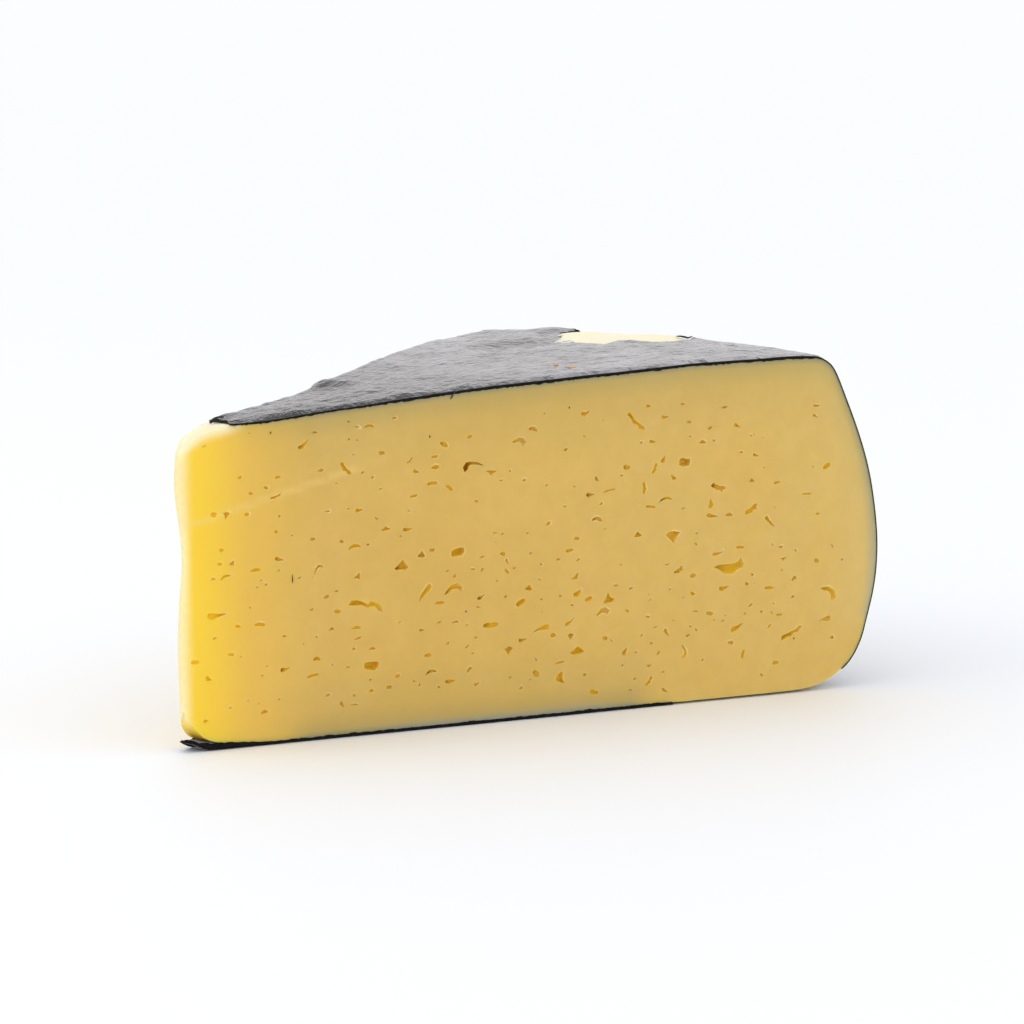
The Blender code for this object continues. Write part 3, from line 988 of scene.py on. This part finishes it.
def smear(p, side):
    """How far below the rind line the knife has dragged wax over the paste, in small teeth."""
    if p < profile.top_end:
        teeth = abs(waves(p, 0, 0, 0.00065, 8.0 + side)) + 0.5 * abs(waves(p, 0, 0, 0.0026, 3.0 + side))
        return 0.00004 + 0.00048 * min(teeth, 0.8)
    if p < profile.base_start:
        return 0.00004 + 0.00010 * abs(waves(p, 0, 0, 0.004, 8.0))
    ragged_base = abs(waves(p, 0, 0, 0.0030, 5.0 + side)) + 0.5 * abs(waves(p, 0, 0, 0.0012, 2.0))
    tip = smooth(profile.length - 0.016, profile.length - 0.002, p)
    return 0.00002 + (0.00040 + 0.0004 * tip) * ragged_base


def wax_points(outline, chip_loop):
    """The places inside the coat that its triangles use, closest together on the top."""
    bands = [
        (0.0, profile.top_end + 0.006, 0.00085),
        (profile.top_end + 0.006, profile.base_start, 0.0014),
        (profile.base_start, profile.length, 0.0030),
    ]
    points = []
    for low, high, step in bands:
        points += [(p, q) for p, q in staggered(low, high, -0.060, 0.060, step) if edge_gap(p, q) >= 0.0003]
    cell = 0.0003
    near_chip = spread({(int(p / cell), int(q / cell)) for p, q in chip_loop})
    return [
        (p, q) for p, q in points
        if point_in(outline, p, q) and (int(p / cell), int(q / cell)) not in near_chip
    ]


def wall_steps(place, kind, outer, inner):
    """Two places on the coat's edge, between its outer and its inner face.

    On a cut the edge stands a little proud of the paste, and its foot is dragged over the paste.
    """
    p, q = place
    if kind == "torn" or edge_gap(p, q) >= 0.0002:
        return outer.lerp(inner, 0.4), outer.lerp(inner, 0.75)
    side = NEAR if kind == "near" else FAR
    r, _, nr, nz = profile.at(p, rind_inset(p))
    r += nr * skin_relief(p, side * edge_angle(r))
    x, y, out_x, out_y = cut_point(-side * along_at(max(r, TIP_X)))
    proud = Vector((out_x, out_y, 0.0))
    inward = Vector((x * -nr / max(r, 1e-4), y * -nr / max(r, 1e-4), -nz))
    return outer.lerp(inner, 0.5) + proud * 0.00013, inner + inward * smear(p, side) + proud * 0.00010


def bloom_and_sheen(p, place):
    """How much pale bloom and painted sheen the wax has: most on the outer part of the top, little in its
    hollow, which is painted dark.
    """
    if p >= profile.top_end + 0.004:
        return 0.0
    # Painted shade: the hollow in the top loses its bloom and painted sheen and stays dark
    shaded_hollow = bump(hypot((place.x - WHEEL_X - 0.127) / 5.0, place.y - 0.0225), 0.0026)
    return smooth(0.040, 0.120, profile.radius(p)) * (1 - 0.9 * shaded_hollow)


def wax_mesh():
    """An outer and an inner sheet over the same triangles, joined by walls at every edge."""
    near = wax_edge(NEAR)
    far = wax_edge(FAR)
    outline = near + far[-2::-1] + tip_end()
    kinds = ["near"] * len(near) + ["far"] * (len(far) - 1) + ["torn"] * len(tip_end())
    chip_loop = [flat_skin(x, y) for x, y in ragged(CHIP_OUTLINE, 0.0006, 0.0011, 2.0)]
    places, triangles, rings = filled(outline, [chip_loop], wax_points(outline, chip_loop))

    mesh = bmesh.new()
    bloom_and_sheen_layer = mesh.verts.layers.float.new("bloom_and_sheen")
    outer = [mesh.verts.new(wax_outer(p, q)) for p, q in places]
    for vert, (p, _) in zip(outer, places):
        # Pale bloom with painted sheen, lightening the outer part of the top
        vert[bloom_and_sheen_layer] = bloom_and_sheen(p, vert.co)
    inside = [mesh.verts.new(wax_inner(p, q)) for p, q in places]
    for a, b, c in triangles:
        mesh.faces.new((outer[a], outer[b], outer[c]))
        mesh.faces.new((inside[c], inside[b], inside[a]))

    for loop, loop_kinds in [(rings[0], kinds), (rings[1], ["torn"] * len(rings[1]))]:
        walls = []
        for index, kind in zip(loop, loop_kinds):
            steps = wall_steps(places[index], kind, outer[index].co, inside[index].co)
            walls.append([outer[index], *[mesh.verts.new(step) for step in steps], inside[index]])
        for a, b in zip(walls, walls[1:] + walls[:1]):
            for level in range(3):
                wall = mesh.faces.new((a[level], a[level + 1], b[level + 1], b[level]))
                wall.material_index = 1
    drop_loose(mesh)
    return mesh


# ---- small loose pieces

def crumb(mesh, place, sizes, draw):
    """A small lumpy crumb, as a squashed and roughened ball."""
    made = bmesh.ops.create_icosphere(mesh, subdivisions=2, radius=1.0)
    seed = draw.uniform(0, 50)
    turn = Matrix.Rotation(draw.uniform(0, 2 * pi), 3, "Z")
    for vert in made["verts"]:
        rough = 1 + 0.45 * noise.noise(vert.co * 1.6 + Vector((seed, 0, 0)))
        local = Vector((vert.co.x * sizes[0], vert.co.y * sizes[1], vert.co.z * sizes[2])) * rough
        vert.co = turn @ local + place


def wax_crumbs(draw):
    """Black specks of wax that the knife left on the near cut face, and one dragged thread."""
    mesh = bmesh.new()
    specks = [
        (26, 36.5, 0.22, 0.95), (95.5, 70.6, 0.26, 0.26), (21, 69, 0.25, 0.25), (40, 66.5, 0.16, 0.18),
        (42, 66.2, 0.12, 0.14), (60, 66, 0.16, 0.26), (69, 26, 0.18, 0.2), (89, 69.6, 0.2, 0.12),
        (156, 13, 0.2, 0.2),
    ]
    for along, height, across, tall in specks:
        crumb(mesh, on_cut(along * MM, height * MM, -0.00004), [across * MM, 0.1 * MM, tall * MM], draw)
    for _ in range(12):
        along = draw.uniform(0.006, 0.165)
        height = draw.uniform(0.004, 0.071)
        size = draw.uniform(0.06, 0.11) * MM
        crumb(mesh, on_cut(along, height, 0.0), [size, size, size], draw)
    thread = []
    for i in range(9):
        t = i / 8
        along = 0.0652 + 0.0017 * t ** 1.6 + 0.0002 * sin(6 * t)
        thread.append(on_cut(along, 0.0741 + 0.0017 * t, -0.00008))
    strand(mesh, thread, Vector((1, 0, 0)), 0.17 * MM, 0.13 * MM)
    return mesh


def top_crumbs(draw):
    """Two crumbs of cheese pressed onto the wax."""
    mesh = bmesh.new()
    for x, y, size in [(0.1010, -0.0184, 0.8), (0.1012, -0.0232, 1.2)]:
        crumb(mesh, lifted(x, y, 0.12 * MM), [size * MM, 0.7 * size * MM, 0.25 * MM], draw)
    return mesh


def strand(mesh, points, across, half_width_across, half_thickness):
    """A thin flat strand through the points, pointed at both ends."""
    sides = 8
    rings = []
    last = len(points) - 1
    for i, point in enumerate(points):
        direction = (points[min(i + 1, last)] - points[max(i - 1, 0)]).normalized()
        sideways = (across - direction * across.dot(direction)).normalized()
        upward = direction.cross(sideways)
        full = 0.15 + 0.85 * sin(pi * (0.12 + 0.80 * i / last)) ** 0.6
        ring = []
        for k in range(sides):
            angle = 2 * pi * k / sides
            ragged_side = 1 + 0.25 * noise.noise(Vector((i * 1.7, k * 0.9, last)))
            offset = sideways * cos(angle) * half_width_across * ragged_side
            offset += upward * sin(angle) * half_thickness
            ring.append(mesh.verts.new(point + offset * full))
        rings.append(ring)
    for a, b in zip(rings, rings[1:]):
        for k in range(sides):
            mesh.faces.new((a[k], a[(k + 1) % sides], b[(k + 1) % sides], b[k]))
    mesh.faces.new(rings[0])
    mesh.faces.new(rings[-1])
    bmesh.ops.recalc_face_normals(mesh, faces=mesh.faces)


def from_axis(x, y, z):
    """A place given in millimetres, with x from the wheel's axis."""
    return Vector((WHEEL_X + x * MM, y * MM, z * MM))


def lifted(x, y, lift):
    """A place above the wax's top: x from the wheel's axis, y towards the far cut."""
    return wax_outer(*flat_skin(x, y)) + Vector((0, 0, lift))


def wax_curls():
    """Loose ends of wax: over the bare tip, beside the chip, and under the tip."""
    mesh = bmesh.new()
    over_tip = [
        (18, 4.6, 71.8), (16, 3.0, 72.1), (14, 1.6, 72.25), (12.2, 0.6, 72.25), (10.6, -0.3, 72.0),
        (9.2, -1.0, 71.5),
    ]
    over_tip = [from_axis(*place) for place in over_tip]
    strand(mesh, over_tip, Vector((0.5, -0.85, 0)), 0.55 * MM, 0.17 * MM)
    beside_chip = [
        (0.1616, -0.0076, 0.0), (0.1613, -0.0066, 0.20), (0.1610, -0.0056, 0.35), (0.1606, -0.0047, 0.40),
        (0.1602, -0.0039, 0.30),
    ]
    beside_chip = [lifted(x, y, lift * MM) for x, y, lift in beside_chip]
    strand(mesh, beside_chip, Vector((1, 0, 0)), 0.6 * MM, 0.22 * MM)
    under_tip = [(5.0, -0.6, 1.0), (3.6, -0.5, 1.1), (2.4, -0.4, 1.4), (1.3, -0.3, 1.9), (0.2, -0.2, 2.5)]
    under_tip = [from_axis(*place) for place in under_tip]
    strand(mesh, under_tip, Vector((0, 1, 0)), 0.9 * MM, 0.20 * MM)
    return mesh


# ---- materials

class Nodes:
    """A short way to lay out a material's nodes."""

    def __init__(self, name):
        self.material = bpy.data.materials.new(name)
        self.material.use_nodes = True
        self.tree = self.material.node_tree
        self.surface = self.new("TexCoord").outputs["Object"]

    def fill(self, socket, value):
        """Link a socket to an output, or set it to a constant."""
        if isinstance(value, bpy.types.NodeSocket):
            self.tree.links.new(value, socket)
        elif socket.type == "RGBA":
            socket.default_value = (*value, 1.0)
        else:
            socket.default_value = value

    def new(self, kind, **values):
        """A node with these values. In a socket's name, an underscore stands for a space."""
        node = self.tree.nodes.new("ShaderNode" + kind)
        for name, value in values.items():
            self.fill(node.inputs[name.replace("_", " ")], value)
        return node

    def attribute(self, name):
        node = self.new("Attribute")
        node.attribute_name = name
        return node.outputs["Fac"]

    def noise(self, scale, detail=2.0, roughness=0.5, stretch=None):
        place = self.surface
        if stretch:
            place = self.new("Mapping", Scale=stretch, Vector=place).outputs["Vector"]
        node = self.new("TexNoise", Scale=scale, Detail=detail, Roughness=roughness, Vector=place)
        return node.outputs["Fac"]

    def ramp(self, source, low, high, low_value=0.0, high_value=1.0):
        node = self.new(
            "MapRange", Value=source, From_Min=low, From_Max=high, To_Min=low_value, To_Max=high_value)
        node.interpolation_type = "SMOOTHSTEP"
        return node.outputs["Result"]

    def times(self, first, second):
        node = self.new("Math")
        node.operation = "MULTIPLY"
        self.fill(node.inputs[0], first)
        self.fill(node.inputs[1], second)
        return node.outputs["Value"]

    def mix(self, amount, first, second):
        node = self.new("Mix")
        node.data_type = "RGBA"
        self.fill(node.inputs["Factor"], amount)
        colours = [socket for socket in node.inputs if socket.type == "RGBA"]
        self.fill(colours[0], first)
        self.fill(colours[1], second)
        return [socket for socket in node.outputs if socket.type == "RGBA"][0]

    def layered(self, colour, layers):
        """A colour with other colours laid over it, each by its own amount."""
        for amount, over in layers:
            colour = self.mix(amount, colour, over)
        return colour

    def bump(self, height, distance, strength=1.0, normal=None):
        node = self.new("Bump", Height=height, Distance=distance, Strength=strength)
        if normal:
            self.fill(node.inputs["Normal"], normal)
        return node.outputs["Normal"]

    def done(self, **values):
        """The material, with these values on its shader."""
        shader = self.tree.nodes["Principled BSDF"]
        for name, value in values.items():
            self.fill(shader.inputs[name.replace("_", " ")], value)
        return self.material


def paste_material():
    """Ivory to gold paste, greyer by the rind. Painted glow makes the tip yellow and a painted highlight
    makes its nose cream; painted shade makes the eyes dark gold inside, with a painted highlight on one side
    of their lips.
    """
    nodes = Nodes("paste")
    rind_gap = nodes.attribute("rind_gap")
    rim_gap = nodes.attribute("rim_gap")
    eye_depth = nodes.attribute("eye_depth")
    along = nodes.attribute("along")

    clouds = nodes.ramp(nodes.noise(38.0, 3.0), 0.35, 0.70)
    mottle = nodes.ramp(nodes.noise(230.0, 4.0, 0.6), 0.30, 0.70, 0.0, 0.35)
    # Painted highlight: the bare tip's rubbed top edge is painted pale cream
    top_edge = nodes.ramp(nodes.attribute("top_gap"), 0.0027, -0.0006)
    bare_edge_highlight = nodes.times(top_edge, nodes.ramp(along, 0.0160, 0.0100))
    # Painted highlight: one side of each eye's lip is painted pale, in patches
    lip_highlight_patches = nodes.ramp(nodes.noise(170.0), 0.35, 0.65, 0.30, 1.00)
    lip = nodes.times(nodes.attribute("eye_lip"), lip_highlight_patches)
    # Painted shade: inside the eyes the paste is painted a deeper gold, brighter towards the glowing tip
    shaded_eye_gold = nodes.mix(nodes.ramp(along, 0.026, 0.008), (0.820, 0.540, 0.016), (0.930, 0.660, 0.012))
    # Painted shade: the deepest parts of the eyes are painted dark brown, less so by the tip
    deepest_shade = nodes.times(nodes.ramp(eye_depth, 0.85, 1.40, 0.0, 0.9), nodes.ramp(along, 0.006, 0.024))
    colour = nodes.layered((0.705, 0.471, 0.114), [
        (nodes.ramp(along, 0.05, 0.16), (0.730, 0.512, 0.150)),
        (clouds, (0.735, 0.499, 0.135)),
        (mottle, (0.650, 0.425, 0.102)),
        (nodes.ramp(rim_gap, 0.014, 0.003, 0.0, 0.30), (0.720, 0.570, 0.230)),
        (nodes.ramp(rim_gap, 0.0034, 0.0003, 0.0, 0.62), (0.430, 0.420, 0.300)),
        (nodes.ramp(rind_gap, 0.0200, 0.0010, 0.0, 0.25), (0.430, 0.340, 0.110)),
        (nodes.ramp(rind_gap, 0.0065, 0.0002, 0.0, 0.45), (0.400, 0.330, 0.130)),
        (nodes.ramp(rind_gap, 0.0016, 0.0001, 0.0, 0.60), (0.330, 0.300, 0.170)),
        (nodes.attribute("foot_smear"), (0.400, 0.390, 0.330)),
        # Painted glow: the paste turns a brighter, deeper yellow towards the tip, as if lit through from
        # behind
        (nodes.ramp(along, 0.036, 0.006, 0.0, 0.80), (0.880, 0.565, 0.080)),
        (nodes.ramp(along, 0.017, 0.002, 0.0, 0.85), (0.960, 0.680, 0.045)),
        # Painted highlight: the tip's rounded nose and its rubbed top edge are painted pale cream
        (nodes.ramp(along, 0.0026, -0.0008), (0.960, 0.860, 0.600)),
        (bare_edge_highlight, (0.960, 0.860, 0.600)),
        (nodes.ramp(nodes.attribute("ridge"), 0.1, 1.0, 0.0, 0.28), (0.900, 0.680, 0.270)),
        # Painted highlight on one side of the eyes' lips
        (lip, (0.870, 0.730, 0.400)),
        # Painted shade inside the eyes, darkest at their deepest, shaded ends
        (nodes.ramp(eye_depth, 0.05, 0.85), shaded_eye_gold),
        (deepest_shade, (0.380, 0.130, 0.003)),
        (nodes.ramp(nodes.attribute("cut_face"), 0.95, 0.2), (0.930, 0.840, 0.600)),
    ])
    normal = nodes.bump(nodes.noise(900.0, 3.0, 0.6), 0.00006, 0.5)
    normal = nodes.bump(nodes.noise(120.0, 2.0, 0.5, (0.35, 0.35, 2.5)), 0.00012, 0.5, normal)
    roughness = nodes.ramp(nodes.noise(160.0, 3.0), 0.3, 0.7, 0.40, 0.54)
    return nodes.done(
        Base_Color=colour, Normal=normal, Roughness=roughness, IOR=1.42, Specular_IOR_Level=0.35,
        Subsurface_Weight=0.75, Subsurface_Radius=(1.0, 0.62, 0.16), Subsurface_Scale=0.0035)


def wax_material():
    """Black wax, glossy on the rim. A pale bloom with painted sheen lightens the outer part of the top;
    painted shade darkens its hollow and short strokes in its creases.
    """
    nodes = Nodes("black_wax")
    patches = nodes.ramp(nodes.noise(95.0, 4.0, 0.6), 0.36, 0.68)
    dust = nodes.ramp(nodes.noise(420.0, 5.0, 0.7), 0.62, 0.80, 0.0, 0.30)
    # Patches of the pale bloom and painted sheen
    bloom_and_sheen_patches = nodes.ramp(nodes.noise(60.0, 4.0, 0.6), 0.30, 0.65, 0.4, 1.0)
    # Painted shade: short dark strokes stand for shaded creases in the wax
    crease_shade_strokes = nodes.ramp(nodes.noise(330.0, 3.0, 0.6, (1.0, 0.45, 1.0)), 0.46, 0.36, 0.0, 0.75)
    colour = nodes.layered((0.0070, 0.0066, 0.0085), [
        (patches, (0.0150, 0.0145, 0.0180)),
        (dust, (0.080, 0.078, 0.088)),
        # Pale bloom, partly painted reflection of the white surroundings, on the outer part of the top
        (nodes.times(nodes.attribute("bloom_and_sheen"), bloom_and_sheen_patches), (0.370, 0.360, 0.378)),
        # Painted shade in the wax's creases
        (crease_shade_strokes, (0.0150, 0.0145, 0.0190)),
    ])
    normal = nodes.bump(nodes.noise(170.0, 3.0, 0.55, (1.0, 2.2, 1.0)), 0.00120)
    normal = nodes.bump(nodes.noise(520.0, 4.0, 0.6), 0.00090, 1.0, normal)
    normal = nodes.bump(nodes.noise(1200.0, 3.0, 0.6), 0.00020, 1.0, normal)
    roughness = nodes.ramp(nodes.noise(210.0, 4.0, 0.6), 0.3, 0.7, 0.16, 0.28)
    return nodes.done(
        Base_Color=colour, Normal=normal, Roughness=roughness, IOR=1.55,
        Sheen_Weight=0.80, Sheen_Roughness=0.30, Sheen_Tint=(1.0, 0.96, 0.98))


def cut_wax_material():
    """The wax where the knife went through it: dull, and blacker than its face."""
    nodes = Nodes("cut_wax")
    speckle = nodes.ramp(nodes.noise(1300.0, 2.0), 0.35, 0.70)
    return nodes.done(
        Base_Color=nodes.mix(speckle, (0.0035, 0.0032, 0.0036), (0.0110, 0.0100, 0.0100)),
        Normal=nodes.bump(nodes.noise(1800.0, 3.0), 0.00006), Roughness=0.62, Specular_IOR_Level=0.10)


def crumb_material(name, colour, roughness):
    """A colour with darker patches and a fine grain, for small loose pieces."""
    nodes = Nodes(name)
    darker = tuple(0.7 * c for c in colour)
    return nodes.done(
        Base_Color=nodes.mix(nodes.ramp(nodes.noise(700.0), 0.3, 0.7), colour, darker),
        Normal=nodes.bump(nodes.noise(2500.0), 0.00004), Roughness=roughness)


# ---- putting the pieces together

def piece(name, mesh, material, sharp_angle):
    """A finished piece that rides on the part's one body. sharp_angle is in degrees."""
    data = bpy.data.meshes.new(name)
    mesh.to_mesh(data)
    mesh.free()
    data.shade_smooth()
    data.set_sharp_from_angle(angle=radians(sharp_angle))
    data.materials.append(material)
    obj = bpy.data.objects.new(name, data)
    bpy.context.scene.collection.objects.link(obj)
    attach(obj, "root")
    return obj


def make_cheese():
    draw = random.Random(12)
    paste = piece("paste_body", paste_mesh(draw), paste_material(), 50)
    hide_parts("cheese_paste")

    wax = piece("wax_skin", wax_mesh(), wax_material(), 60)
    wax.data.materials.append(cut_wax_material())
    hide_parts("wax_coat")

    speck_wax = crumb_material("wax_speck", (0.02, 0.017, 0.012), 0.5)
    specks = piece("wax_specks", wax_crumbs(draw), speck_wax, 80)
    curls = piece("wax_curls", wax_curls(), cut_wax_material(), 60)
    fleck_paste = crumb_material("fleck", (0.75, 0.36, 0.07), 0.5)
    flecks = piece("cheese_flecks", top_crumbs(draw), fleck_paste, 80)


# ---- the studio

def make_floor():
    mesh = bmesh.new()
    bmesh.ops.create_grid(mesh, x_segments=2, y_segments=2, size=20.0)
    data = bpy.data.meshes.new("floor")
    mesh.to_mesh(data)
    mesh.free()
    data.materials.append(Nodes("floor").done(Base_Color=(0.928, 0.950, 0.995), Roughness=0.6))
    floor = bpy.data.objects.new("floor", data)
    bpy.context.scene.collection.objects.link(floor)


def area_light(name, place, target, size, power, colour=(1.0, 1.0, 1.0)):
    data = bpy.data.lights.new(name, "AREA")
    data.shape = "RECTANGLE"
    data.size = size[0]
    data.size_y = size[1]
    data.energy = power
    data.color = colour
    light = bpy.data.objects.new(name, data)
    light.location = place
    light.rotation_euler = (Vector(target) - Vector(place)).to_track_quat("-Z", "Y").to_euler()
    bpy.context.scene.collection.objects.link(light)


def make_light():
    world = bpy.data.worlds.new("studio")
    world.use_nodes = True
    background = world.node_tree.nodes["Background"]
    background.inputs["Color"].default_value = (1.0, 1.0, 1.0, 1.0)
    background.inputs["Strength"].default_value = 1.03
    bpy.context.scene.world = world
    bpy.context.scene.view_settings.view_transform = "Standard"
    area_light("left_back", (-0.75, 0.45, 0.55), (-0.02, 0.0, 0.04), (0.6, 0.6), 1.0)


# The camera stands back and to the left of the wedge's middle line, a little above its top
VIEW_TURN = radians(28.52) + HALF_ANGLE      # from the camera's right to the wedge's middle line
CAMERA_BACK = 0.898
CAMERA_LEFT = -0.0723
CAMERA_HEIGHT = 0.174
CAMERA_PITCH = radians(7.68)
FOCAL_LENGTH = 147.66


def make_camera():
    data = bpy.data.cameras.new("camera")
    data.lens = FOCAL_LENGTH
    data.sensor_width = 36.0
    camera = bpy.data.objects.new("camera", data)
    right = Vector((cos(VIEW_TURN), -sin(VIEW_TURN), 0.0))
    away = Vector((sin(VIEW_TURN), cos(VIEW_TURN), 0.0))
    place = Vector((WHEEL_X, 0.0, CAMERA_HEIGHT)) - right * CAMERA_LEFT - away * CAMERA_BACK
    aim = away * cos(CAMERA_PITCH) - Vector((0.0, 0.0, sin(CAMERA_PITCH)))
    camera.location = place
    camera.rotation_euler = aim.to_track_quat("-Z", "Y").to_euler()
    bpy.context.scene.collection.objects.link(camera)
    bpy.context.scene.camera = camera


make_camera()
make_cheese()
make_floor()
make_light()
